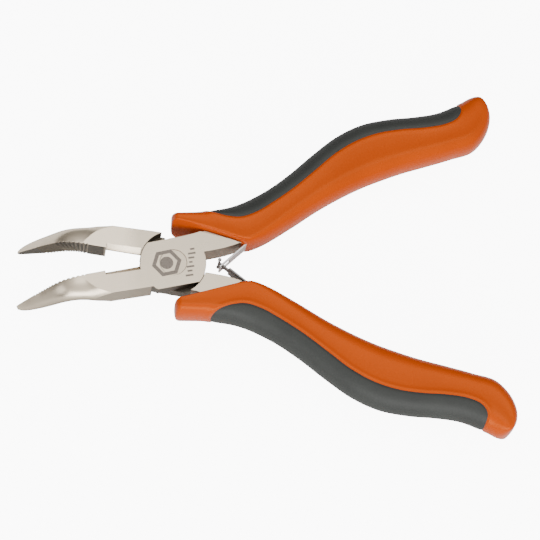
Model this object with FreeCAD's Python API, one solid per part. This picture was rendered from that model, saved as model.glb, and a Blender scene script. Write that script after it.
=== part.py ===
"""Bent needle-nose pliers, 130 mm class, with a lap joint, two crossed leaf springs and two-colour grips.

The nose bends 40 degrees to the back, square to the plane that the handles open in.

Frame: +Z up out of the front face, +X from the joint to the handles, +Y to the upper handle.
The origin is on the pivot's axis, at the back face of the joint. Millimetres.
The pliers rest open. The jaws are drawn closed and then swung open by half the opening each;
the upper handle is drawn open, and the lower one is the same handle turned over about X.
"""

import FreeCAD
import Part
import math
import os

from FreeCAD import Vector

# --- driving dimensions ---------------------------------------------------------------------------
half_opening = 10.4        # degrees that each jaw swings from the closed line to its resting place
plate_half = 3.2           # half the thickness of the joint
lap_radius = 8.45          # round end of each lap
seat_radius = 8.60         # round shoulder that the other half's lap turns in
lap_half_width = 6.5       # flats on the sides of each lap
lap_play = 0.03            # air between a lap and the joint's mid plane
jaw_play = 0.03            # air between a jaw and the parting line when closed

parting_y = 1.05           # height of the parting plane over the pivot, jaws closed
nose_bend_x = -23.5        # where the nose starts to bend to the back
nose_bend_radius = 9.0     # on the middle line of the nose
nose_bend_angle = 40.0     # degrees
jaw_full_x = -13.0         # full thickness from here to the joint
jaw_root_x = -3.0          # the jaws' root, inside the joint
cutter_start_x = -17.5     # the gripping pad ends and the cutting edges start here
cutter_end_x = -8.6
cutter_edge_z = 1.5        # the cutting edges lie nearer the front face
cutter_bevels_front = (1.1, 1.4)    # widths of the front bevel, beside the pad and beside the joint
cutter_bevels_back = (2.2, 2.6)     # and of the back bevel
cutter_land = 0.15         # half the thickness of the cutting edge
cutter_overrun = 1.0       # the ground corner's reach past the faces and the edge
tooth_pitch = 0.95
tooth_depth = 0.28
tooth_reach = 4.0          # half the length of a groove's cutter
tooth_start = -1.1         # first tooth, along the nose from the start of its bend
tooth_count = 15

rivet_radius = 2.5
rivet_head_radius = 3.5
rivet_head_height = 1.0
rivet_play = 0.03          # running clearance in the back half

leaf_thickness = 0.45
leaf_width = 4.2
leaf_crossing = Vector(12.9, 0, 0)      # where the two leaves pass through each other
leaf_reach = 1.25                       # from the crossing to a leaf's end
leaf_mouth = Vector(20.6, 6.75, 0)      # where the leaf leaves the grip
leaf_base = Vector(27.6, 11.6, 0)       # its riveted end, inside the grip
leaf_slot = (3.6, 0.42, 2.4)            # slot: start and end before the leaf's end, and its width
leaf_neck = (3.2, 1.7)                  # tongue: length before the leaf's end, and its width
crossbar_radius = 0.3                   # bar across the end of the tongue
crossbar_half_length = 2.9
knob_radius = 0.5                       # knobs at the bar's ends, outside the other leaf
knob_length = 0.65
leaf_rivet_radius = 0.75
leaf_rivet_head_radius = 1.3
leaf_rivet_head_height = 0.6
leaf_rivet_depth = 2.2
leaf_rivet_from_base = 2.6

grip_wall = 2.0            # thickness of the soft inlay
grip_fit = 0.15            # air between the collar and the step in the tang
tang_half_thickness = 2.4  # inside the grip

Z = Vector(0, 0, 1)
ORIGIN = Vector(0, 0, 0)

# Nose sections: distance along the nose from the start of its bend, width of a jaw, half thickness.
nose_sections = [
    (-12.5, 13.0, 10.0),
    (-8.5, 8.3, 7.2),
    (-4.5, 6.75, 4.9),
    (-1.7, 6.1, 3.6),
    (0.0, 5.65, 3.2),
    (2.0, 5.25, 3.1),
    (4.4, 4.85, 2.95),
    (9.3, 4.05, 2.35),
    (13.1, 3.4, 1.75),
    (17.0, 2.5, 1.1),
    (19.4, 1.55, 0.62),
    (20.2, 1.0, 0.42),
]
# Outer edge of a jaw beside the joint, as distance along X and height over the parting plane.
jaw_edge = [(-3.0, 6.5), (-9.0, 6.45), (-13.5, 6.3), (-17.0, 6.2), (-24.5, 6.2)]

# Upper tang, at rest: its two edges from the joint to its end.
tang_outer = [(-1.0, 6.5), (3.0, 7.3), (7.0, 8.4), (12.0, 10.4), (18.0, 12.6), (24.0, 15.4), (32.0, 20.3),
              (40.0, 26.4), (48.0, 31.2), (56.0, 34.0), (66.0, 35.6)]
tang_inner = [(67.0, 33.2), (57.0, 31.2), (49.0, 28.0), (41.0, 23.2), (33.0, 16.6), (27.4, 12.0),
              (20.6, 7.15), (17.4, 5.3), (12.7, 3.75), (5.0, 2.3)]

# Upper grip, at rest, from the joint to the end that turns outwards.
# Each row is a section's outer point, inner point, the exponent of its curve, and half its thickness.
grip_sections = [
    ((-1.6, 13.3), (0.4, 3.3), 3.0, 4.9),
    ((7.0, 14.2), (9.0, 3.9), 3.0, 4.9),
    ((15.4, 15.6), (18.0, 4.5), 3.0, 4.9),
    ((20.2, 17.7), (24.6, 6.8), 2.9, 4.9),
    ((25.9, 20.9), (31.1, 10.6), 2.7, 4.9),
    ((31.9, 25.4), (38.3, 15.4), 2.6, 4.9),
    ((37.9, 30.6), (44.5, 19.0), 2.6, 4.9),
    ((44.3, 35.6), (50.5, 22.0), 2.6, 4.9),
    ((51.0, 39.1), (55.9, 24.2), 2.6, 4.9),
    ((58.5, 40.8), (61.9, 26.4), 2.6, 4.9),
    ((65.4, 41.5), (68.7, 28.4), 2.6, 4.9),
    ((71.6, 42.6), (75.2, 30.4), 2.6, 4.9),
    ((76.6, 44.7), (81.6, 32.7), 2.6, 4.9),
    ((79.4, 46.4), (85.0, 36.8), 2.5, 4.8),
    ((81.1, 47.1), (86.3, 40.8), 2.4, 4.3),
    ((82.5, 47.2), (86.0, 43.9), 2.3, 3.2),
    ((83.3, 46.9), (85.2, 45.5), 2.2, 1.8),
]

# Front rim of the upper grip, where the tang comes out: from its outer corner to the leaf's mouth.
rim_points = [(0.7, 15.5), (0.0, 10.0), (3.3, 9.5), (7.5, 8.6), (11.6, 7.5), (15.2, 6.4), (18.3, 5.1), (18.5, 0.0)]

# Edge between the two colours on the faces of the upper grip, from the front to the end.
inlay_edge = [(7.0, 16.4), (9.2, 14.6), (12.2, 13.1), (16.3, 12.6), (20.8, 13.4), (26.3, 16.4), (32.2, 20.4),
              (37.9, 25.3), (43.7, 30.2), (49.5, 33.7), (55.4, 35.7), (61.4, 36.7), (67.5, 37.3), (73.5, 38.6),
              (77.3, 41.0), (77.4, 44.0), (75.4, 48.0)]


# --- helpers ----------------------------------------------------------------------------------------
def vectors(points):
    """Plan points as vectors in the joint's mid plane."""
    return [Vector(x, y, 0) for x, y in points]


def smooth(points):
    """One smooth edge through plan points."""
    curve = Part.BSplineCurve()
    curve.interpolate(vectors(points))
    return curve.toShape()


def straight(points):
    """Straight edges from point to point."""
    corners = vectors(points)
    return [Part.LineSegment(a, b).toShape() for a, b in zip(corners, corners[1:])]


def prism(edges, low, high):
    """The solid over a closed plan outline, from height low to height high."""
    face = Part.Face(Part.Wire(Part.__sortEdges__(edges)))
    solid = face.extrude(Vector(0, 0, high - low))
    solid.translate(Vector(0, 0, low))
    return solid


def disc(radius, low, high):
    """A cylinder on the pivot's axis."""
    return Part.makeCylinder(radius, high - low, Vector(0, 0, low), Z)


def turned(shape, degrees):
    """A copy turned about the pivot's axis."""
    copy = shape.copy()
    copy.rotate(ORIGIN, Z, degrees)
    return copy


def turned_over(shape):
    """A copy turned over about X: the upper handle's part becomes the lower handle's."""
    copy = shape.copy()
    copy.rotate(ORIGIN, Vector(1, 0, 0), 180)
    return copy


# --- jaws, drawn closed -----------------------------------------------------------------------------
def nose_place(distance):
    """Point on the nose's middle line, and the ways along it and out of its front there."""
    start = Vector(nose_bend_x, parting_y, 0)
    turn = math.radians(nose_bend_angle)
    angle = min(max(distance / nose_bend_radius, 0), turn)
    along = Vector(-math.cos(angle), 0, -math.sin(angle))
    out = Vector(-math.sin(angle), 0, math.cos(angle))
    bent = Vector(-math.sin(angle), 0, math.cos(angle) - 1) * nose_bend_radius
    return start + bent + along * (distance - angle * nose_bend_radius), along, out


def jaw_room(side):
    """Everything on one side of the parting plane that a jaw may fill: side is +1 for the upper jaw."""
    near = parting_y + side * jaw_play
    outer_points = [(x, parting_y + side * y) for x, y in jaw_edge]
    first, last = outer_points[0], outer_points[-1]
    sides = straight([last, (last[0], near), (first[0], near), first])
    beside_joint = prism([smooth(outer_points)] + sides, -plate_half, plate_half)
    depth = 15.0
    low_corner = Vector(-50, min(near, near + side * depth), -depth)
    bent = Part.makeBox(50 + nose_bend_x, depth, depth + plate_half, low_corner)
    return beside_joint.fuse(bent)


def nose_cone():
    """The ground nose that both jaws share: ovals along its middle line, larger than the faces at its root."""
    ovals = []
    for distance, wide, thick in nose_sections:
        centre, along, out = nose_place(distance)
        across = Vector(0, 1, 0)
        if wide > thick:
            oval = Part.Ellipse(centre + across * wide, centre + out * thick, centre)
        else:
            oval = Part.Ellipse(centre + out * thick, centre + across * wide, centre)
        ovals.append(Part.Wire([oval.toShape()]))
    return Part.makeLoft(ovals, True, False)


def tooth_cutters(side):
    """V grooves across the gripping pad, one jaw's teeth half a pitch from the other's."""
    cutters = []
    for i in range(tooth_count):
        distance = tooth_start + (i + 0.25 - 0.25 * side) * tooth_pitch
        place, along, out = nose_place(distance)
        into = Vector(0, side, 0)
        bent = 0 < distance < math.radians(nose_bend_angle) * nose_bend_radius
        fan = tooth_reach / nose_bend_radius if bent else 0
        ends = []
        for way in (1, -1):
            middle = place + out * (tooth_reach * way)
            half = along * (0.46 * tooth_pitch * (1 + fan * way))
            mouth = middle - into * 0.05
            ends.append(Part.makePolygon([mouth - half, middle + into * tooth_depth, mouth + half, mouth - half]))
        cutters.append(Part.makeLoft(ends, True, True))
    return cutters


def bevel_section(x, side, face, bevel):
    """Cross-section of the corner ground away beside a cutting edge; face is +1 for the front."""
    below = parting_y - side * cutter_overrun
    edge_z = cutter_edge_z + face * cutter_land
    depth = plate_half - face * edge_z
    outside = face * (plate_half + cutter_overrun)
    corner = [
        Vector(x, below, edge_z),
        Vector(x, parting_y, edge_z),
        Vector(x, parting_y + side * bevel * (depth + cutter_overrun) / depth, outside),
        Vector(x, below, outside),
    ]
    return Part.makePolygon(corner + corner[:1])


def cutter_bevels(side):
    """The ground-away corners in front of and behind a cutting edge, wider towards the joint."""
    bevels = []
    for face, widths in ((1, cutter_bevels_front), (-1, cutter_bevels_back)):
        places = zip((cutter_start_x, cutter_end_x), widths)
        sections = [bevel_section(x, side, face, bevel) for x, bevel in places]
        bevels.append(Part.makeLoft(sections, True, True))
    return bevels


def jaw(side):
    """One jaw, closed, at full thickness, with its teeth and cutting edge."""
    body = jaw_room(side)
    root = Part.makeBox(jaw_root_x - jaw_full_x, 40, 20, Vector(jaw_full_x, -20, -10))
    nose = body.common(nose_cone())
    whole = nose.fuse(body.common(root))
    return whole.cut(Part.makeCompound(tooth_cutters(side) + cutter_bevels(side))).removeSplitter()


# --- the two steel halves, at rest ------------------------------------------------------------------
def rim_region(offset, low, high):
    """Plan region on the joint's side of the grip's front rim, moved towards the grip by offset."""
    moved = [(x + offset * 0.3, y + offset) for x, y in rim_points]
    edges = [smooth(moved[1:-1])] + straight(moved[:2]) + straight(moved[-2:])
    far = straight([moved[-1], (18.4, -20.0), (-20.0, -20.0), (-20.0, 15.5), moved[0]])
    return prism(edges + far, low, high)


def tang(low, high):
    """The upper tang between two heights, full width, at rest."""
    edges = [smooth(tang_outer), smooth(tang_inner)]
    edges += straight([tang_outer[-1], tang_inner[0]]) + straight([tang_inner[-1], tang_outer[0]])
    return prism(edges, low, high)


def lap(low, high):
    """Round lap with two flats, square to its own half."""
    flats = Part.makeBox(40, 2 * lap_half_width, high - low, Vector(-20, -lap_half_width, low))
    return disc(lap_radius, low, high).common(turned(flats, half_opening))


def steel_half(side):
    """A half in the upper handle's place, with its lap in front; side is the side of the jaw it carries."""
    open_jaw = turned(jaw(side), half_opening * -side)
    if side > 0:
        open_jaw = turned_over(open_jaw)
    outside = tang(-plate_half, plate_half).common(rim_region(-grip_fit, -10, 10))
    inside = tang(-tang_half_thickness, tang_half_thickness)
    arms = open_jaw.fuse([outside, inside])
    well = disc(seat_radius, -10, lap_play)
    front = disc(seat_radius, lap_play, 10)
    room = arms.cut([well, front])
    bridge = arms.common(front).common(Part.makeBox(60, 60, 60, Vector(-30, -30, lap_play)))
    half = room.fuse([bridge, lap(lap_play, plate_half)])
    return half.cut(disc(rivet_radius, -10, 10)).removeSplitter()


def rivet_cone(play, top):
    """Countersunk head: its wide end flush with the face at height top."""
    low = top - rivet_head_height
    return Part.makeCone(rivet_radius + play, rivet_head_radius + play, rivet_head_height, Vector(0, 0, low), Z)


def pivot_rivet():
    """The flush rivet, pressed into the front half and turning in the back half."""
    back_head = turned_over(rivet_cone(0, plate_half))
    return disc(rivet_radius, -plate_half, plate_half).fuse([rivet_cone(0, plate_half), back_head]).removeSplitter()


# --- leaf springs, in the upper handle's place ------------------------------------------------------
def leaf_line():
    """The way along the blade from the grip's mouth, and the place where the blade ends."""
    blade = (leaf_crossing - leaf_mouth).normalize()
    return blade, leaf_crossing + blade * leaf_reach


def leaf_strip():
    """The leaf's flat strip, with its bend at the grip's mouth."""
    blade, leaf_end = leaf_line()
    base = (leaf_base - leaf_mouth).normalize()
    half = leaf_thickness / 2
    across = Vector(-blade.y, blade.x, 0) * -half
    base_across = Vector(base.y, -base.x, 0) * -half
    bend = (across + base_across).normalize() * half
    corners = [leaf_end + across, leaf_mouth + bend, leaf_base + base_across,
               leaf_base - base_across, leaf_mouth - bend, leaf_end - across]
    outline = straight([(p.x, p.y) for p in corners + corners[:1]])
    return prism(outline, -leaf_width / 2, leaf_width / 2)


def blade_box(near, far, middle, width):
    """A box round part of the blade: from near to far before its end, middle and width along Z."""
    blade, leaf_end = leaf_line()
    box = Part.makeBox(far - near, 4, width, Vector(near, -2, middle - width / 2))
    box.rotate(ORIGIN, Z, math.degrees(math.atan2(-blade.y, -blade.x)))
    box.translate(leaf_end)
    return box


def slotted_leaf():
    """The leaf with the slot that the other's tongue passes through."""
    start, end, width = leaf_slot
    return leaf_strip().cut([blade_box(end, start, 0, width), leaf_rivet_shank()]).removeSplitter()


def tongued_leaf():
    """The leaf with the tongue, the crossbar that keeps it in the slot, and the bar's two knobs."""
    length, width = leaf_neck
    shoulder = leaf_width
    cuts = [blade_box(-1.0, length, side * (width + shoulder) / 2, shoulder) for side in (1, -1)]
    leaf_end = leaf_line()[1]
    bar_start = leaf_end - Z * crossbar_half_length
    bar = Part.makeCylinder(crossbar_radius, 2 * crossbar_half_length, bar_start, Z)
    knob = Part.makeCylinder(knob_radius, knob_length, bar_start, Z)
    far_knob = knob.translated(Z * (2 * crossbar_half_length - knob_length))
    return leaf_strip().cut(cuts).fuse([bar, knob, far_knob]).cut(leaf_rivet_shank()).removeSplitter()


def leaf_rivet_place():
    """Where the small rivet crosses the leaf, and the way from the leaf into the tang."""
    along = (leaf_mouth - leaf_base).normalize()
    return leaf_base + along * leaf_rivet_from_base, Vector(along.y, -along.x, 0)


def leaf_rivet_shank():
    """The shank: through the leaf and into the tang."""
    place, into = leaf_rivet_place()
    start = place - into * (leaf_thickness / 2)
    return Part.makeCylinder(leaf_rivet_radius, leaf_thickness + leaf_rivet_depth, start, into)


def leaf_rivet():
    """The small rivet that holds a leaf to its tang."""
    place, into = leaf_rivet_place()
    head_start = place - into * (leaf_thickness / 2 + leaf_rivet_head_height)
    head = Part.makeCylinder(leaf_rivet_head_radius, leaf_rivet_head_height, head_start, into)
    return head.fuse(leaf_rivet_shank()).removeSplitter()


# --- grips, in the upper handle's place -------------------------------------------------------------
def grip_ring(outer, inner, power, shrink, half_thickness):
    """One closed section of the grip: a rounded rectangle by formula, smaller by shrink on all sides."""
    middle = (outer + inner) * 0.5
    side = outer - inner
    inset = min(shrink, 0.6 * half_thickness, 0.3 * side.Length)
    half_width = side.Length / 2 - inset
    side.normalize()
    half_thick = half_thickness - inset
    steps = 24
    points = []
    for i in range(steps):
        angle = 2 * math.pi * (i + 0.5) / steps
        c, s = math.cos(angle), math.sin(angle)
        across = math.copysign(abs(c) ** (2 / power), c) * half_width
        up = math.copysign(abs(s) ** (2 / power), s) * half_thick
        points.append(middle + side * across + Z * up)
    curve = Part.BSplineCurve()
    curve.interpolate(points, True)
    return Part.Wire([curve.toShape()])


def grip_body(shrink):
    """The whole grip's outer form, or its core when it is made smaller by shrink."""
    rings = []
    for outer, inner, power, half_thickness in grip_sections:
        rings.append(grip_ring(Vector(*outer, 0), Vector(*inner, 0), power, shrink, half_thickness))
    return Part.makeLoft(rings, True, False)


def inlay_region():
    """Plan region on the outer side of the edge between the two colours."""
    edges = [smooth(inlay_edge)]
    edges += straight([inlay_edge[-1], (75.0, 60.0), (0.0, 60.0), inlay_edge[0]])
    return prism(edges, -10, 10)


def grip_parts(steel, leaf, rivet):
    """The hard shell and the soft inlay of the upper grip, hollowed for the steel, leaf and rivet."""
    body = grip_body(0).cut(rim_region(0, -10, 10))
    inlay = body.common(inlay_region()).cut(grip_body(grip_wall))
    shell = body.cut([inlay, steel, leaf, rivet])
    return shell, inlay


# --- the pliers -------------------------------------------------------------------------------------
def build():
    front_half = steel_half(-1)
    back_half = steel_half(1)
    leaf_slotted, leaf_tongue, small_rivet = slotted_leaf(), tongued_leaf(), leaf_rivet()
    upper_shell, inlay = grip_parts(front_half, leaf_slotted, small_rivet)
    lower_shell = grip_parts(back_half, leaf_tongue, small_rivet)[0]
    front_half = front_half.cut([rivet_cone(0, plate_half), leaf_rivet_shank()])
    back_half = back_half.cut([disc(rivet_radius + rivet_play, -10, 10), rivet_cone(rivet_play, plate_half),
                               leaf_rivet_shank()])
    return {
        "front_half": front_half,
        "back_half": turned_over(back_half),
        "pivot_rivet": pivot_rivet(),
        "upper_leaf_spring": leaf_slotted,
        "lower_leaf_spring": turned_over(leaf_tongue),
        "upper_spring_rivet": small_rivet,
        "lower_spring_rivet": turned_over(small_rivet),
        "upper_grip_shell": upper_shell,
        "upper_grip_inlay": inlay,
        "lower_grip_shell": turned_over(lower_shell),
        "lower_grip_inlay": turned_over(inlay),
    }


os.makedirs("parts", exist_ok=True)
for name, shape in build().items():
    shape.translate(Vector(0, 0, plate_half))
    shape.exportStep(f"parts/{name}.step")
    print(name, "valid", shape.isValid(), "solids", len(shape.Solids), "volume", round(shape.Volume, 1))
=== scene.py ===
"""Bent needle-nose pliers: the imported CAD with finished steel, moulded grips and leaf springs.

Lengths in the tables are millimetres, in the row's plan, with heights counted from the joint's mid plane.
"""

import math

import bmesh
import bpy
import numpy as np
from mathutils import Matrix, Vector


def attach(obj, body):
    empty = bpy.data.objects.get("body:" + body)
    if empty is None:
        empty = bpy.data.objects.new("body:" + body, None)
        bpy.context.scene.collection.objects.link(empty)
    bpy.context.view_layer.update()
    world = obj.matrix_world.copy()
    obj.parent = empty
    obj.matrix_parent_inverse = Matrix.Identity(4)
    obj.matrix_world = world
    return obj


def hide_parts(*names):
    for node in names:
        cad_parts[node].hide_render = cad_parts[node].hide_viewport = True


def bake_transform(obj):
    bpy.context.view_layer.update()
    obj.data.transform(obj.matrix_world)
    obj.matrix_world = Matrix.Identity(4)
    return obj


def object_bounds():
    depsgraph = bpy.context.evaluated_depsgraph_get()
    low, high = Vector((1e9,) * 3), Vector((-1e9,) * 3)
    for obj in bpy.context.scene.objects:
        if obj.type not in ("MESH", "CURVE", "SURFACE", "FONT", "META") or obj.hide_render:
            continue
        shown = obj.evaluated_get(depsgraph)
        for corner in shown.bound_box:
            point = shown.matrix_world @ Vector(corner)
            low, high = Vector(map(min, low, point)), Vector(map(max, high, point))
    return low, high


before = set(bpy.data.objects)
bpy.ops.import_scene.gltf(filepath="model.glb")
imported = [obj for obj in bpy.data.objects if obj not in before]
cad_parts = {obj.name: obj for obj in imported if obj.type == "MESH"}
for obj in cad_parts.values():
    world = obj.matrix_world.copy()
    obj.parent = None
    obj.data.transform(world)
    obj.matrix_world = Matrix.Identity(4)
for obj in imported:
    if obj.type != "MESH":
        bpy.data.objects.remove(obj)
CAD_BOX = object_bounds()

MM = 0.001
MID = 3.2            # height of the joint's mid plane over the origin

# Where the halves' tones change, in metres from the pivot; each pair is a short blend.
JAW_HIGHLIGHT_FROM = (-0.0125, -0.0085)      # the jaws carry a painted highlight beyond this x
PADS_FROM = (-0.0176, -0.0172)          # the toothed pads lie beyond this x
SEAT_RADIUS = (0.00870, 0.00880)        # painted shade in the joint's recesses lies within this radius
FACE_HEIGHT = (0.00300, 0.00312)        # and below this height from the mid plane
PAD_TONE = 0.13
# tone of the painted shade in the joint's recesses
RECESS_SHADE_TONE = 0.16


# --- materials ---------------------------------------------------------------------------------------
def new_material(name):
    """A material, its tree and its shader."""
    material = bpy.data.materials.new(name)
    material.use_nodes = True
    tree = material.node_tree
    return material, tree, tree.nodes["Principled BSDF"]


def node(tree, kind, **values):
    """Adds a node and sets its inputs or properties by name."""
    made = tree.nodes.new(kind)
    for key, value in values.items():
        if key in made.inputs:
            made.inputs[key].default_value = value
        else:
            setattr(made, key, value)
    return made


def place(tree, scale=(1, 1, 1), turn=0.0):
    """Object coordinates, scaled and turned about Z."""
    coordinates = tree.nodes.new("ShaderNodeTexCoord")
    mapping = tree.nodes.new("ShaderNodeMapping")
    mapping.inputs["Scale"].default_value = scale
    mapping.inputs["Rotation"].default_value = (0, 0, turn)
    tree.links.new(coordinates.outputs["Object"], mapping.inputs["Vector"])
    return mapping.outputs["Vector"]


def ramp(tree, value, stops):
    """A colour ramp over a value: stops are (position, colour)."""
    made = tree.nodes.new("ShaderNodeValToRGB")
    first, last = made.color_ramp.elements
    first.position, first.color = stops[0]
    last.position, last.color = stops[-1]
    for position, colour in stops[1:-1]:
        made.color_ramp.elements.new(position).color = colour
    tree.links.new(value, made.inputs["Fac"])
    return made.outputs["Color"]


def to_range(tree, value, low, high, start=0.0, end=1.0):
    """A value from start to end as low to high."""
    made = tree.nodes.new("ShaderNodeMapRange")
    for key, number in (("From Min", start), ("From Max", end), ("To Min", low), ("To Max", high)):
        made.inputs[key].default_value = number
    tree.links.new(value, made.inputs["Value"])
    return made.outputs["Result"]


def combine(tree, operation, first, second=0.0):
    """Two values through a maths node."""
    made = tree.nodes.new("ShaderNodeMath")
    made.operation = operation
    for socket, value in zip(made.inputs, (first, second)):
        if isinstance(value, (int, float)):
            socket.default_value = value
        else:
            tree.links.new(value, socket)
    return made.outputs["Value"]


def tinted(tone, factor):
    return tuple(min(1.0, c * factor) for c in tone) + (1,)


def mixed_colour(tree, factor, first, second):
    """Two colours mixed by a value."""
    made = node(tree, "ShaderNodeMix", data_type="RGBA")
    tree.links.new(factor, made.inputs["Factor"])
    for socket, value in ((made.inputs[6], first), (made.inputs[7], second)):
        if isinstance(value, tuple):
            socket.default_value = value
        else:
            tree.links.new(value, socket)
    return made.outputs[2]


def steel(name, tone, rough, painted_wall_shade=1.0, joint=False, line_turn=0.0, jaw_highlight_gain=1.0, pad_way=0):
    """Ground and plated steel: grinding lines, cloudy plating, and painted shade on the steep side faces,
    which are rougher too.

    The joint's halves also have a painted highlight on the jaws, dark toothed pads (pad_way is the Y way
    they face) and painted shade in their recesses.
    """
    material, tree, shader = new_material(name)
    shader.inputs["Metallic"].default_value = 1.0
    cloud = node(tree, "ShaderNodeTexNoise", Scale=90.0, Detail=4.0, Roughness=0.55)
    tree.links.new(place(tree), cloud.inputs["Vector"])
    grind = node(tree, "ShaderNodeTexNoise", Scale=1.0, Detail=3.0, Roughness=0.6)
    tree.links.new(place(tree, (700, 8000, 8000), line_turn), grind.inputs["Vector"])
    colour = ramp(tree, cloud.outputs["Fac"], [(0.3, tinted(tone, 0.93)), (0.7, tinted(tone, 1.04))])
    geometry = tree.nodes.new("ShaderNodeNewGeometry")
    split = tree.nodes.new("ShaderNodeSeparateXYZ")
    tree.links.new(geometry.outputs["Normal"], split.inputs["Vector"])
    upright = combine(tree, "ABSOLUTE", split.outputs["Z"])
    wall = to_range(tree, upright, 1.0, 0.0, 0.15, 0.55)
    # Painted shade: steep side faces are darkened by the given factor of the tone.
    if painted_wall_shade < 1.0:
        colour = mixed_colour(tree, wall, colour, tinted(tone, painted_wall_shade))
    if joint:
        where = tree.nodes.new("ShaderNodeTexCoord")
        parts = tree.nodes.new("ShaderNodeSeparateXYZ")
        tree.links.new(where.outputs["Object"], parts.inputs["Vector"])
        # Painted highlight: the jaws' colour is raised by a gain towards their tips.
        gain = to_range(tree, parts.outputs["X"], jaw_highlight_gain, 1.0, *JAW_HIGHLIGHT_FROM)
        colour = scaled(tree, colour, gain)
        facing = tree.nodes.new("ShaderNodeSeparateXYZ")
        tree.links.new(where.outputs["Normal"], facing.inputs["Vector"])
        towards = combine(tree, "MULTIPLY", facing.outputs["Y"], pad_way)
        facing_pad = to_range(tree, towards, 0.0, 1.0, 0.55, 0.9)
        beyond = to_range(tree, parts.outputs["X"], 1.0, 0.0, *PADS_FROM)
        pad = combine(tree, "MULTIPLY", facing_pad, beyond)
        colour = mixed_colour(tree, pad, colour, tinted(tone, PAD_TONE))
        squares = [combine(tree, "MULTIPLY", parts.outputs[axis], parts.outputs[axis]) for axis in (0, 1)]
        radius = combine(tree, "SQRT", combine(tree, "ADD", *squares))
        near = to_range(tree, radius, 1.0, 0.0, *SEAT_RADIUS)
        height = combine(tree, "ABSOLUTE", combine(tree, "SUBTRACT", parts.outputs["Z"], MID * MM))
        inside = to_range(tree, height, 1.0, 0.0, *FACE_HEIGHT)
        # Painted shade in the joint's recesses, near the pivot and below the face.
        recess_shade = combine(tree, "MULTIPLY", near, inside)
        colour = mixed_colour(tree, recess_shade, colour, tinted(tone, RECESS_SHADE_TONE))
    tree.links.new(colour, shader.inputs["Base Color"])
    satin = to_range(tree, cloud.outputs["Fac"], rough - 0.05, rough + 0.05)
    satin = combine(tree, "ADD", satin, to_range(tree, grind.outputs["Fac"], -0.04, 0.04))
    satin = combine(tree, "ADD", satin, combine(tree, "MULTIPLY", wall, 0.10))
    tree.links.new(satin, shader.inputs["Roughness"])
    soft = node(tree, "ShaderNodeBevel", samples=4, Radius=0.00022)
    bump = node(tree, "ShaderNodeBump", Strength=0.22, Distance=0.00002)
    tree.links.new(grind.outputs["Fac"], bump.inputs["Height"])
    tree.links.new(soft.outputs["Normal"], bump.inputs["Normal"])
    tree.links.new(bump.outputs["Normal"], shader.inputs["Normal"])
    return material


def scaled(tree, colour, factor):
    """A colour times a value."""
    made = node(tree, "ShaderNodeVectorMath", operation="SCALE")
    tree.links.new(colour, made.inputs[0])
    tree.links.new(factor, made.inputs["Scale"])
    return made.outputs["Vector"]


def gloss_plastic(name):
    """Glossy moulded orange plastic with a faint ripple and slightly uneven pigment."""
    material, tree, shader = new_material(name)
    cloud = node(tree, "ShaderNodeTexNoise", Scale=60.0, Detail=3.0)
    tree.links.new(place(tree), cloud.inputs["Vector"])
    stops = [(0.3, (0.48, 0.056, 0.0, 1)), (0.7, (0.53, 0.063, 0.0, 1))]
    tree.links.new(ramp(tree, cloud.outputs["Fac"], stops), shader.inputs["Base Color"])
    tree.links.new(to_range(tree, cloud.outputs["Fac"], 0.24, 0.31), shader.inputs["Roughness"])
    shader.inputs["Specular IOR Level"].default_value = 0.40
    shader.inputs["Specular Tint"].default_value = (1.0, 0.42, 0.14, 1)
    ripple = node(tree, "ShaderNodeTexNoise", Scale=450.0, Detail=2.0)
    tree.links.new(place(tree), ripple.inputs["Vector"])
    bump = node(tree, "ShaderNodeBump", Strength=0.05, Distance=0.0001)
    tree.links.new(ripple.outputs["Fac"], bump.inputs["Height"])
    tree.links.new(bump.outputs["Normal"], shader.inputs["Normal"])
    return material


def rubber(name):
    """Matte dark grey rubber with a fine spark-eroded grain."""
    material, tree, shader = new_material(name)
    cloud = node(tree, "ShaderNodeTexNoise", Scale=120.0, Detail=5.0)
    tree.links.new(place(tree), cloud.inputs["Vector"])
    stops = [(0.3, (0.026, 0.028, 0.026, 1)), (0.7, (0.034, 0.037, 0.034, 1))]
    tree.links.new(ramp(tree, cloud.outputs["Fac"], stops), shader.inputs["Base Color"])
    tree.links.new(to_range(tree, cloud.outputs["Fac"], 0.50, 0.62), shader.inputs["Roughness"])
    shader.inputs["Specular IOR Level"].default_value = 0.35
    grain = node(tree, "ShaderNodeTexVoronoi", Scale=3200.0)
    tree.links.new(place(tree), grain.inputs["Vector"])
    bump = node(tree, "ShaderNodeBump", Strength=0.25, Distance=0.00004)
    tree.links.new(grain.outputs["Distance"], bump.inputs["Height"])
    tree.links.new(bump.outputs["Normal"], shader.inputs["Normal"])
    return material


def etched(name):
    """Etched steel: darker, rough and slightly mottled."""
    material, tree, shader = new_material(name)
    shader.inputs["Metallic"].default_value = 0.6
    speck = node(tree, "ShaderNodeTexNoise", Scale=2500.0, Detail=2.0)
    tree.links.new(place(tree), speck.inputs["Vector"])
    stops = [(0.3, (0.20, 0.17, 0.145, 1)), (0.7, (0.30, 0.26, 0.225, 1))]
    tree.links.new(ramp(tree, speck.outputs["Fac"], stops), shader.inputs["Base Color"])
    tree.links.new(to_range(tree, speck.outputs["Fac"], 0.55, 0.75), shader.inputs["Roughness"])
    return material


def dress(name, material):
    """Gives a CAD node its material."""
    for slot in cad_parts[name].material_slots:
        slot.material = material


# --- mesh helpers --------------------------------------------------------------------------------------
def make_piece(name, points, faces, material, body, smooth=True):
    """A mesh piece from points in millimetres, counted from the mid plane, riding on a body."""
    mesh = bpy.data.meshes.new(name)
    placed = [(x * MM, y * MM, (z + MID) * MM) for x, y, z in points]
    mesh.from_pydata(placed, [], faces)
    mesh.materials.append(material)
    mesh.update()
    tidy = bmesh.new()
    tidy.from_mesh(mesh)
    bmesh.ops.recalc_face_normals(tidy, faces=tidy.faces)
    tidy.to_mesh(mesh)
    tidy.free()
    if smooth:
        mesh.shade_smooth()
    piece = bpy.data.objects.new(name, mesh)
    bpy.context.scene.collection.objects.link(piece)
    if body:
        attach(piece, body)
    return piece


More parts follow.
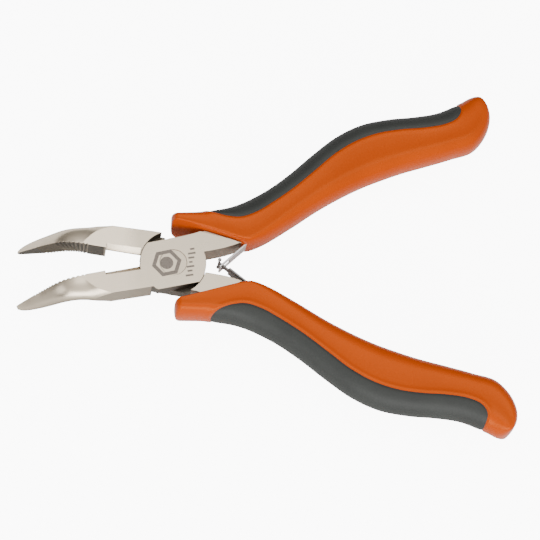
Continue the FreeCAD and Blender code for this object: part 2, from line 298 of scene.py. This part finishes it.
def through(points, steps):
    """A smooth line through points, as an array of samples: Catmull-Rom with centripetal spacing."""
    points = np.array(points, float)
    ends = np.vstack([2 * points[0] - points[1], points, 2 * points[-1] - points[-2]])
    samples = []
    for i in range(len(points) - 1):
        p = ends[i:i + 4]
        knots = [0.0]
        for a, b in zip(p, p[1:]):
            knots.append(knots[-1] + max(1e-6, np.linalg.norm((b - a)[:2])) ** 0.5)
        t0, t1, t2, t3 = knots
        t = np.linspace(t1, t2, steps, endpoint=False)[:, None]
        a1 = (t1 - t) / (t1 - t0) * p[0] + (t - t0) / (t1 - t0) * p[1]
        a2 = (t2 - t) / (t2 - t1) * p[1] + (t - t1) / (t2 - t1) * p[2]
        a3 = (t3 - t) / (t3 - t2) * p[2] + (t - t2) / (t3 - t2) * p[3]
        b1 = (t2 - t) / (t2 - t0) * a1 + (t - t0) / (t2 - t0) * a2
        b2 = (t3 - t) / (t3 - t1) * a2 + (t - t1) / (t3 - t1) * a3
        samples.append((t2 - t) / (t2 - t1) * b1 + (t - t1) / (t2 - t1) * b2)
    samples.append(points[-1:])
    return np.vstack(samples)


# --- grips ---------------------------------------------------------------------------------------------
# Sections of the upper grip from the joint to the end: outer point, inner point, width of the sloping
# outer side, width of the inner rounding, half thickness, and how far the inner wall leans.
GRIP_ROWS = [
    ((0.2, 14.05), (0.0, 10.6), 2.0, 0.5, 4.8, 0.75),
    ((3.3, 14.15), (3.3, 9.9), 2.1, 0.5, 4.8, 0.75),
    ((7.2, 14.35), (7.4, 8.8), 2.3, 0.5, 4.8, 0.65),
    ((10.8, 14.75), (11.5, 7.55), 2.6, 0.6, 4.8, 0.5),
    ((13.6, 15.3), (15.0, 6.4), 3.3, 0.8, 4.8, 0.3),
    ((15.8, 15.95), (17.6, 5.5), 4.2, 1.0, 4.8, 0.1),
    ((17.8, 16.7), (20.1, 5.15), 4.8, 1.4, 4.8, 0.0),
    ((20.4, 17.9), (23.9, 6.45), 5.1, 2.2, 4.8, 0.0),
    ((25.8, 21.0), (31.0, 10.65), 4.8, 3.2, 4.8, 0.0),
    ((31.8, 25.5), (38.2, 15.4), 4.5, 3.8, 4.8, 0.0),
    ((37.8, 30.7), (44.4, 19.0), 4.5, 4.2, 4.8, 0.0),
    ((44.2, 35.7), (50.4, 22.0), 4.6, 4.4, 4.8, 0.0),
    ((51.0, 39.15), (55.8, 24.2), 4.7, 4.4, 4.8, 0.0),
    ((58.5, 40.8), (61.9, 26.4), 4.8, 4.2, 4.8, 0.0),
    ((65.4, 41.5), (68.7, 28.4), 4.8, 4.0, 4.8, 0.0),
    ((71.6, 42.6), (75.2, 30.4), 4.8, 3.8, 4.8, 0.0),
    ((76.6, 44.7), (81.6, 32.8), 4.6, 3.8, 4.8, 0.0),
    ((79.0, 46.1), (84.9, 37.0), 4.2, 3.6, 4.75, 0.0),
    ((80.6, 46.9), (86.0, 40.8), 3.4, 3.2, 4.7, 0.0),
    ((81.8, 47.1), (85.7, 43.5), 2.2, 2.6, 4.4, 0.0),
    ((82.7, 46.9), (84.8, 45.2), 1.1, 1.2, 3.8, 0.0),
]
# Edge between the two colours in plan.
INLAY_EDGE = [
    (5.6, 18.8), (7.2, 16.2), (8.9, 14.7), (11.3, 13.2), (14.2, 12.2), (17.8, 11.9), (21.9, 13.3),
    (26.3, 16.0), (32.2, 20.2), (37.9, 25.0), (43.7, 29.9), (49.5, 33.4), (55.4, 35.5), (61.4, 36.5),
    (67.5, 37.0), (73.0, 38.0), (76.4, 39.7), (77.7, 42.0), (77.2, 44.6), (75.6, 47.6), (74.4, 50.0),
]
AROUND = 72          # steps over each face of a grip
RING_GAP = 0.38      # distance between sections along a grip
FRONT_STOPS = [0.0, 0.06, 0.14, 0.26, 0.42, 0.62, 0.86, 1.15, 1.5]      # closer sections at its front end
FRONT_ROUNDING = 1.6        # length over which the front end rounds down
FRONT_HALF = 1.4            # to this half thickness
FRONT_PINCH = (0.6, 0.45)   # length and depth of the front end's narrowing on each side
OUTER_POWER = 2.1           # how square the outer and the inner rounding are
INNER_POWER = 2.4
FACE_HOLLOW = 0.10          # the faces sink this much in the middle
# The relief at the colours' edge: height, place and width of the shell's lip, depth and width of the
# groove on each side, and height and width of the inlay's rise.
LIP = (0.11, 0.6, 0.55)
SHELL_GROOVE = (0.16, 0.22)
INLAY_GROOVE = (0.12, 0.3)
INLAY_RISE = (0.12, 0.9)


def signed_distance(points, line):
    """Distance of plan points to a line, positive on its outer side."""
    starts, ends = line[:-1], line[1:]
    along = ends - starts
    lengths = (along ** 2).sum(1)
    best = np.full(len(points), 1e9)
    crossings = np.zeros(len(points), int)
    outline = np.vstack([line, [[75.0, 70.0], [0.0, 70.0]], line[:1]])
    for start, way, length in zip(starts, along, lengths):
        t = np.clip(((points - start) @ way) / length, 0, 1)
        best = np.minimum(best, np.linalg.norm(points - start - t[:, None] * way, axis=1))
    for (x0, y0), (x1, y1) in zip(outline, outline[1:]):
        spans = (points[:, 1] < y0) != (points[:, 1] < y1)
        with np.errstate(divide="ignore", invalid="ignore"):
            cross_x = x0 + (points[:, 1] - y0) / (y1 - y0) * (x1 - x0)
        crossings += spans & (points[:, 0] < cross_x)
    return np.where(crossings % 2 == 1, best, -best)


def rounding(distance, width, power):
    """A rounded edge: 0 at the edge, 1 beyond the width."""
    t = np.clip(distance / np.maximum(width, 1e-6), 0, 1)
    return (1 - (1 - t) ** power) ** (1 / power)


def front_arc(stop, length):
    """A quarter circle at a grip's front end: 1 at the end, 0 beyond the length."""
    return 1 - math.sqrt(1 - max(0.0, 1 - stop / length) ** 2)


def bell(distance, width):
    return math.exp(-(distance / width) ** 2)


def relief(distance):
    """How far the skin stands out at a distance from the colours' edge, positive on the inlay."""
    if distance <= 0:
        height, place_from_edge, width = LIP
        depth, groove = SHELL_GROOVE
        return height * bell(distance + place_from_edge, width) - depth * bell(distance, groove)
    height, width = INLAY_RISE
    depth, groove = INLAY_GROOVE
    return height * (1 - bell(distance, width)) - depth * bell(distance, groove)


def grip_rings():
    """Sections of the upper grip as rings of points."""
    rows = np.array([[*o, *i, *rest] for o, i, *rest in GRIP_ROWS])
    fine = through(rows, 24)
    middle = (fine[:, :2] + fine[:, 2:4]) / 2
    run = np.concatenate([[0], np.cumsum(np.linalg.norm(np.diff(middle, axis=0), axis=1))])
    stops = np.concatenate([FRONT_STOPS, np.arange(FRONT_STOPS[-1] + RING_GAP, run[-1], RING_GAP), run[-1:]])
    fine = np.array([np.interp(stops, run, fine[:, k]) for k in range(8)]).T
    rings = []
    for (ox, oy, ix, iy, slope, edge, thick, lean), stop in zip(fine, stops):
        outer, inner = np.array([ox, oy]), np.array([ix, iy])
        width = np.linalg.norm(outer - inner)
        way = (outer - inner) / width
        end = (thick - FRONT_HALF) * front_arc(stop, FRONT_ROUNDING)
        pinch = FRONT_PINCH[1] * front_arc(stop, FRONT_PINCH[0])
        width -= 2 * pinch
        inner = inner + way * pinch
        across = (1 - np.cos(np.linspace(0, math.pi, AROUND + 1))) / 2 * width
        slope = min(slope, 0.85 * width)
        edge = min(edge, 0.9 * width)
        height = (thick - end) * rounding(across, edge, INNER_POWER)
        height *= rounding(width - across, slope, OUTER_POWER)
        flat = np.clip((across - edge * 0.6) / max(width - slope - edge * 0.6, 0.1), 0, 1)
        height -= FACE_HOLLOW * np.sin(math.pi * flat) ** 2 * min(1.0, width / 12)
        shift = lean * height / thick * (1 - across / width)
        upper = np.column_stack([inner + (across + shift)[:, None] * way, height])
        lower = np.column_stack([inner + (across - shift)[:, None] * way, -height])[-2:0:-1]
        rings.append(np.vstack([upper, lower]))
    return rings


def grip_surface():
    """The upper grip's skin as one closed mesh, with the lip, the groove and the raised inlay pushed out."""
    rings = grip_rings()
    count = len(rings[0])
    made = bmesh.new()
    grid = [[made.verts.new(point) for point in ring] for ring in rings]
    for first, second in zip(grid, grid[1:]):
        for k in range(count):
            made.faces.new((first[k], first[(k + 1) % count], second[(k + 1) % count], second[k]))
    made.faces.new(grid[0][::-1])
    made.faces.new(grid[-1])
    edge = through(INLAY_EDGE, 16)
    made.verts.ensure_lookup_table()
    plan = np.array([v.co[:2] for v in made.verts])
    distance = signed_distance(plan, edge)
    value = dict(zip(made.verts, distance))
    for crossed in [e for e in made.edges if value[e.verts[0]] * value[e.verts[1]] < 0]:
        a, b = crossed.verts
        share = value[a] / (value[a] - value[b])
        _, fresh = bmesh.utils.edge_split(crossed, a, share)
        value[fresh] = 0.0
    for face in list(made.faces):
        cuts = [v for v in face.verts if value[v] == 0.0]
        if len(cuts) == 2 and len(face.verts) > 4:
            bmesh.utils.face_split(face, cuts[0], cuts[1])
    bmesh.ops.recalc_face_normals(made, faces=made.faces)
    made.normal_update()
    for v in made.verts:
        v.co += v.normal * relief(value[v])
    return made, value


def part_of(made, value, wanted):
    """Points and faces of the side of the skin that is wanted: +1 the inlay, -1 the shell."""
    index, points, faces = {}, [], []
    for face in made.faces:
        total = sum(value[v] for v in face.verts)
        if total * wanted <= 0:
            continue
        corners = []
        for v in face.verts:
            if v not in index:
                index[v] = len(points)
                points.append(tuple(v.co))
            corners.append(index[v])
        faces.append(corners)
    return points, faces


def turned_over(points):
    return [(x, -y, -z) for x, y, z in points]


def make_grips(shell_material, inlay_material):
    """Both grips: the lower one is the upper one turned over about X."""
    made, value = grip_surface()
    parts = {"shell": (part_of(made, value, -1), shell_material, "orange_shell"),
             "inlay": (part_of(made, value, 1), inlay_material, "grey_inlay")}
    made.free()
    for kind, ((points, faces), material, slot) in parts.items():
        for side, body in (("upper", "front_body"), ("lower", "back_body")):
            placed = points if side == "upper" else turned_over(points)
            piece = make_piece(f"{side}_{kind}_moulding", placed, faces, material, body)
            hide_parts(f"{side}_grip_{kind}")


# --- leaf springs --------------------------------------------------------------------------------------
CROSSING = np.array([12.9, 0.0])        # where the leaves cross, in plan
MOUTH = np.array([20.6, 6.75])          # where the upper leaf leaves its grip
BASE = np.array([27.6, 11.6])           # its inner end
REACH = 1.25                            # how far it goes beyond the crossing
LEAF_HALF = 0.225                       # half its thickness
LEAF_HALF_WIDTH = 2.1
LEAF_LENGTH = 20.0
SLOT = (0.42, 3.6)                      # the upper leaf's slot, along it
NECK = 3.2                              # length of the lower leaf's tongue
LEAF_ROWS = [-LEAF_HALF_WIDTH, -1.2, -0.85, 0.85, 1.2, LEAF_HALF_WIDTH]
KNOB = [(-2.9, 0.0), (-2.9, 0.30), (-2.78, 0.45), (-2.6, 0.5), (-2.4, 0.48), (-2.25, 0.34), (-2.15, 0.3)]


def leaf_line(distance):
    """Plan point at a distance from the leaf's end, with a rounded bend at the grip's mouth."""
    way = (CROSSING - MOUTH) / np.linalg.norm(CROSSING - MOUTH)
    end = CROSSING + way * REACH
    inside = (BASE - MOUTH) / np.linalg.norm(BASE - MOUTH)
    corner = np.linalg.norm(end - MOUTH)
    if distance < corner - 1:
        return end - way * distance
    if distance > corner + 1:
        return MOUTH + inside * (distance - corner)
    t = (distance - corner + 1) / 2
    return (1 - t) ** 2 * (MOUTH + way) + 2 * t * (1 - t) * MOUTH + t ** 2 * (MOUTH + inside)


def leaf_mesh(tongue):
    """Points and faces of a leaf: a strip with a slot or a tongue, thick on both sides of its line."""
    stops = sorted(set(np.round(np.concatenate([np.linspace(0, LEAF_LENGTH, 81), [*SLOT, NECK]]), 4)))
    rows = LEAF_ROWS
    cells = set()
    for i in range(len(stops) - 1):
        middle = (stops[i] + stops[i + 1]) / 2
        for j in range(len(rows) - 1):
            if tongue and middle < NECK and abs(rows[j] + rows[j + 1]) > 0.01:
                continue
            if not tongue and SLOT[0] < middle < SLOT[1] and 0 < j < len(rows) - 2:
                continue
            cells.add((i, j))
    points, index, faces = [], {}, []

    def corner(i, j, side):
        key = (i, j, side)
        if key not in index:
            here = leaf_line(stops[i])
            ahead = leaf_line(stops[i] + 0.01) - here
            normal = np.array([-ahead[1], ahead[0]]) / np.linalg.norm(ahead)
            spot = here + normal * side * LEAF_HALF
            index[key] = len(points)
            points.append((spot[0], spot[1], rows[j]))
        return index[key]

    for i, j in cells:
        faces.append([corner(i, j, 1), corner(i + 1, j, 1), corner(i + 1, j + 1, 1), corner(i, j + 1, 1)])
        back = [corner(i, j + 1, -1), corner(i + 1, j + 1, -1), corner(i + 1, j, -1), corner(i, j, -1)]
        faces.append(back)
        for di, dj, a, b in ((-1, 0, (0, 0), (0, 1)), (1, 0, (1, 1), (1, 0)), (0, -1, (1, 0), (0, 0)),
                             (0, 1, (0, 1), (1, 1))):
            if (i + di, j + dj) not in cells:
                p, q = (i + a[0], j + a[1]), (i + b[0], j + b[1])
                faces.append([corner(*p, 1), corner(*q, 1), corner(*q, -1), corner(*p, -1)])
    return points, faces


def turned_bar():
    """The tongue's crossbar with a rounded knob at each end, turned about the leaf's end."""
    profile = KNOB + [(-z, r) for z, r in KNOB[::-1]]
    centre = leaf_line(0)
    around = 20
    points, faces = [], []
    for z, r in profile:
        for k in range(around):
            angle = 2 * math.pi * k / around
            points.append((centre[0] + r * math.cos(angle), centre[1] + r * math.sin(angle), z))
    for i in range(len(profile) - 1):
        for k in range(around):
            n = (k + 1) % around
            faces.append([i * around + k, i * around + n, (i + 1) * around + n, (i + 1) * around + k])
    return points, faces


def join(first, second):
    """Two lists of points and faces as one."""
    shift = len(first[0])
    return first[0] + second[0], first[1] + [[k + shift for k in face] for face in second[1]]


def make_leaves(bright, dark):
    """Both leaf springs, each a strip along its plan line; the lower one also has the turned crossbar."""
    jobs = [("upper", leaf_mesh(False), bright, "front_body", 1, "spring_bright"),
            ("lower", join(leaf_mesh(True), turned_bar()), dark, "back_body", -1, "spring_dark")]
    for side, (points, faces), material, body, sign, slot in jobs:
        placed = points if side == "upper" else turned_over(points)
        piece = make_piece(f"{side}_leaf", placed, faces, material, None, smooth=False)
        with bpy.context.temp_override(object=piece, active_object=piece, selected_objects=[piece]):
            bevel = piece.modifiers.new("edge", "BEVEL")
            bevel.width = 0.00005
            bevel.segments = 2
            bevel.limit_method = "ANGLE"
            bpy.ops.object.modifier_apply(modifier="edge")
        piece.data.shade_smooth()
        piece.data.set_sharp_from_angle(angle=math.radians(40))
        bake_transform(piece)
        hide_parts(f"{side}_leaf_spring")


# --- etched mark ---------------------------------------------------------------------------------------
MARK_LIFT = 0.012        # height of the mark over the face
MARK_CENTRE = (-1.7, -0.2)
HEXAGON = (3.9, 2.8)     # outer and inner radius
DOT = (1.7, 0.02)
BARS = [2.0, 1.3, 2.0, 0.9, 1.6, 2.0, 1.2]
FIRST_BAR, BAR_STEP, BAR_WIDTH, BAR_TURN = (4.0, -3.6), (0.16, 1.2), 0.5, 8


def etched_mark(material):
    """A plain etched pictogram on the front face: a hexagon ring round a dot, and a scale of short bars."""
    lift = MID + MARK_LIFT
    points, faces = [], []

    def ring(cx, cy, outer, inner, sides, turn):
        start = len(points)
        for k in range(sides):
            angle = turn + 2 * math.pi * k / sides
            for r in (outer, inner):
                points.append((cx + r * math.cos(angle), cy + r * math.sin(angle), lift))
        for k in range(sides):
            n = (k + 1) % sides
            faces.append([start + 2 * k, start + 2 * n, start + 2 * n + 1, start + 2 * k + 1])

    def bar(cx, cy, length, width, turn):
        start = len(points)
        c, s = math.cos(turn), math.sin(turn)
        for x, y in ((-length, -width), (length, -width), (length, width), (-length, width)):
            points.append((cx + (x * c - y * s) / 2, cy + (x * s + y * c) / 2, lift))
        faces.append([start, start + 1, start + 2, start + 3])

    ring(*MARK_CENTRE, *HEXAGON, 6, math.radians(12))
    ring(*MARK_CENTRE, *DOT, 24, 0.0)
    for k, length in enumerate(BARS):
        x, y = (first + k * step for first, step in zip(FIRST_BAR, BAR_STEP))
        bar(x, y, length, BAR_WIDTH, math.radians(BAR_TURN))
    piece = make_piece("etched_mark", points, faces, material, "front_body", smooth=False)


# --- stage, light and camera -------------------------------------------------------------------------
VIEW = (-18.0, 67.5, 16.25)      # the camera's azimuth, elevation and roll in degrees
VIEW_DISTANCE = 0.6144
VIEW_CENTRE = (0.02496, -0.00085)      # what it looks at, from the pivot to the right and up in the picture
LENS = 160.0
FLOOR_GLOW = 9.0


def camera():
    """The camera over the pliers, a little towards the lower handle and turned in its own plane."""
    azimuth, elevation, roll = (math.radians(angle) for angle in VIEW)
    back = Vector((math.sin(azimuth) * math.cos(elevation), -math.cos(azimuth) * math.cos(elevation),
                   math.sin(elevation)))
    level = Vector((math.cos(azimuth), math.sin(azimuth), 0))
    upright = back.cross(level)
    right = level * math.cos(roll) + upright * math.sin(roll)
    up = upright * math.cos(roll) - level * math.sin(roll)
    target = Vector((0, 0, MID * MM)) + right * VIEW_CENTRE[0] + up * VIEW_CENTRE[1]
    data = bpy.data.cameras.new("camera")
    data.lens = LENS
    data.sensor_width = 36.0
    placed = bpy.data.objects.new("camera", data)
    bpy.context.scene.collection.objects.link(placed)
    turn = Matrix((right, up, back)).transposed().to_4x4()
    placed.matrix_world = Matrix.Translation(target + back * VIEW_DISTANCE) @ turn
    bpy.context.scene.camera = placed


def soft_light(name, spot, aim, size, power):
    """A rectangular soft light aimed at a point."""
    data = bpy.data.lights.new(name, "AREA")
    data.shape = "RECTANGLE"
    data.size, data.size_y = size
    data.energy = power
    placed = bpy.data.objects.new(name, data)
    placed.location = spot
    placed.rotation_mode = "QUATERNION"
    placed.rotation_quaternion = (Vector(aim) - Vector(spot)).to_track_quat("-Z", "Y")
    bpy.context.scene.collection.objects.link(placed)


def stage():
    """A plain white floor under the pliers, soft lights, and a sky that is darker behind and to the left."""
    low = CAD_BOX[0].z
    bpy.ops.mesh.primitive_plane_add(size=8, location=(0, 0, low - 0.0003))
    floor = bpy.context.object
    floor.name = "floor"
    material, tree, shader = new_material("floor_white")
    shader.inputs["Base Color"].default_value = (0.9, 0.9, 0.9, 1)
    shader.inputs["Roughness"].default_value = 0.9
    shader.inputs["Emission Color"].default_value = (1, 1, 1, 1)
    seen = tree.nodes.new("ShaderNodeLightPath")
    glow = to_range(tree, seen.outputs["Is Camera Ray"], 0.0, FLOOR_GLOW)
    tree.links.new(glow, shader.inputs["Emission Strength"])
    floor.data.materials.append(material)
    world = bpy.data.worlds.new("world")
    world.use_nodes = True
    tree = world.node_tree
    way = tree.nodes.new("ShaderNodeTexCoord")
    split = tree.nodes.new("ShaderNodeSeparateXYZ")
    tree.links.new(way.outputs["Generated"], split.inputs["Vector"])
    tree.nodes["Background"].inputs["Color"].default_value = (1.0, 0.985, 0.96, 1)
    higher = to_range(tree, split.outputs["Z"], 0.22, 1.25, 0.0, 0.85)
    nearer = to_range(tree, split.outputs["Y"], 1.0, 0.5, 0.0, 0.8)
    right = to_range(tree, split.outputs["X"], 0.35, 1.0, -0.95, -0.2)
    level = combine(tree, "MULTIPLY", combine(tree, "MULTIPLY", higher, nearer), right)
    tree.links.new(level, tree.nodes["Background"].inputs["Strength"])
    bpy.context.scene.world = world
    soft_light("front_soft", (-0.05, -0.85, 0.36), (0.02, 0, 0), (0.9, 0.5), 9.0)
    soft_light("left_soft", (-0.75, -0.30, 0.35), (0, 0, 0), (0.4, 0.4), 1.0)
    soft_light("top_soft", (0.05, 0.10, 0.9), (0.02, 0, 0), (0.6, 0.6), 2.2)


# --- the scene ---------------------------------------------------------------------------------------
camera()
stage()
PLATED = (0.62, 0.53, 0.41)
# Both halves' jaws carry a painted highlight, stronger on the back half, and painted shade on their steep
# side faces.
dress("front_half", steel("front_steel", PLATED, 0.29, painted_wall_shade=0.55, joint=True, jaw_highlight_gain=1.12, pad_way=1))
dress("back_half", steel("back_steel", PLATED, 0.29, painted_wall_shade=0.55, joint=True, line_turn=0.2, jaw_highlight_gain=1.4,
                         pad_way=-1))
dress("pivot_rivet", steel("rivet_steel", PLATED, 0.33))
dress("upper_spring_rivet", steel("upper_small_rivet", (0.5, 0.49, 0.48), 0.4))
dress("lower_spring_rivet", steel("lower_small_rivet", (0.5, 0.49, 0.48), 0.4))
make_grips(gloss_plastic("orange_plastic"), rubber("grey_rubber"))
# One spring steel in two copies: the lower leaf's darker copy is painted shade, the upper leaf's is the lit
# tone.
make_leaves(steel("lit_spring_steel", (0.70, 0.69, 0.68), 0.28, line_turn=0.7),
            steel("shaded_spring_steel", (0.27, 0.26, 0.25), 0.42, line_turn=-0.7))
etched_mark(etched("etched_steel"))
